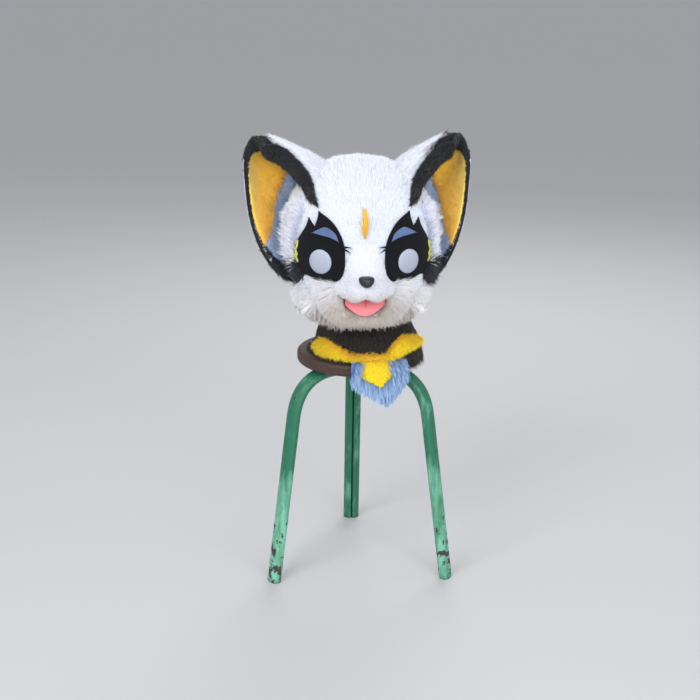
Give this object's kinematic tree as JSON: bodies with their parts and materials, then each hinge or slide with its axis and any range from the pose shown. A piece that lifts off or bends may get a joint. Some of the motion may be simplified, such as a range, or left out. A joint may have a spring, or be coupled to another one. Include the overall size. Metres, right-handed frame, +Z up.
{
  "type": "fursuit head on a stool",
  "caption": "Hollow furred cat costume head with large cupped ears, felt eyes, muzzle, collar and bib, standing on the round seat of a bent-tube steel stool.",
  "frame": {"origin": "on the floor under the middle of the whole box, between the stool's feet", "axes": "+Z up, the face looks along -Y, +X is the wearer's left"},
  "size_m": [0.4058, 0.383, 0.814],
  "materials": {
    "white_fur": "long white faux fur",
    "short_pile": "short white pile",
    "black_fur": "black faux fur",
    "yellow_fur": "yellow faux fur",
    "blue_fur": "light blue faux fur",
    "black_felt": "black felt",
    "blue_felt": "blue felt",
    "lime_felt": "yellow-green felt",
    "sight_mesh": "printed plastic sight mesh",
    "nose_vinyl": "dark grey soft vinyl",
    "pink_fleece": "pink fleece",
    "mouth_fleece": "dark pink fleece",
    "green_paint": "worn green paint on steel",
    "brown_board": "dark brown stained board"
  },
  "bodies": {
    "root": {"stool_seat": "brown_board", "stool_leg_back": "green_paint", "stool_leg_left": "green_paint", "stool_leg_right": "green_paint", "bib": "blue_fur", "bib_shield": "yellow_fur", "neck": "black_fur", "collar": "yellow_fur", "head_shell": "white_fur", "muzzle": "short_pile", "lower_jaw": "short_pile", "mouth_floor": "mouth_fleece", "tongue": "pink_fleece", "nose": "nose_vinyl", "forehead_blaze": "yellow_fur", "chin_ruff": "white_fur", "eye_panel_left": "black_felt", "eye_panel_right": "black_felt", "eye_disc_left": "sight_mesh", "eye_disc_right": "sight_mesh", "lid_mark_left": "blue_felt", "lid_mark_right": "blue_felt", "eye_edge_left": "lime_felt", "eye_edge_right": "lime_felt", "lashes_left": "black_felt", "lashes_right": "black_felt", "temple_fur_left": "black_fur", "temple_fur_right": "black_fur", "cheek_tuft_left": "white_fur", "cheek_tuft_right": "white_fur", "ear_shell_left": "white_fur", "ear_shell_right": "white_fur", "ear_rim_left": "black_fur", "ear_rim_right": "black_fur", "ear_lining_left": "yellow_fur", "ear_lining_right": "yellow_fur", "ear_band_left": "blue_fur", "ear_band_right": "blue_fur", "ear_fluff_left": "white_fur", "ear_fluff_right": "white_fur"}
  },
  "joints": []
}
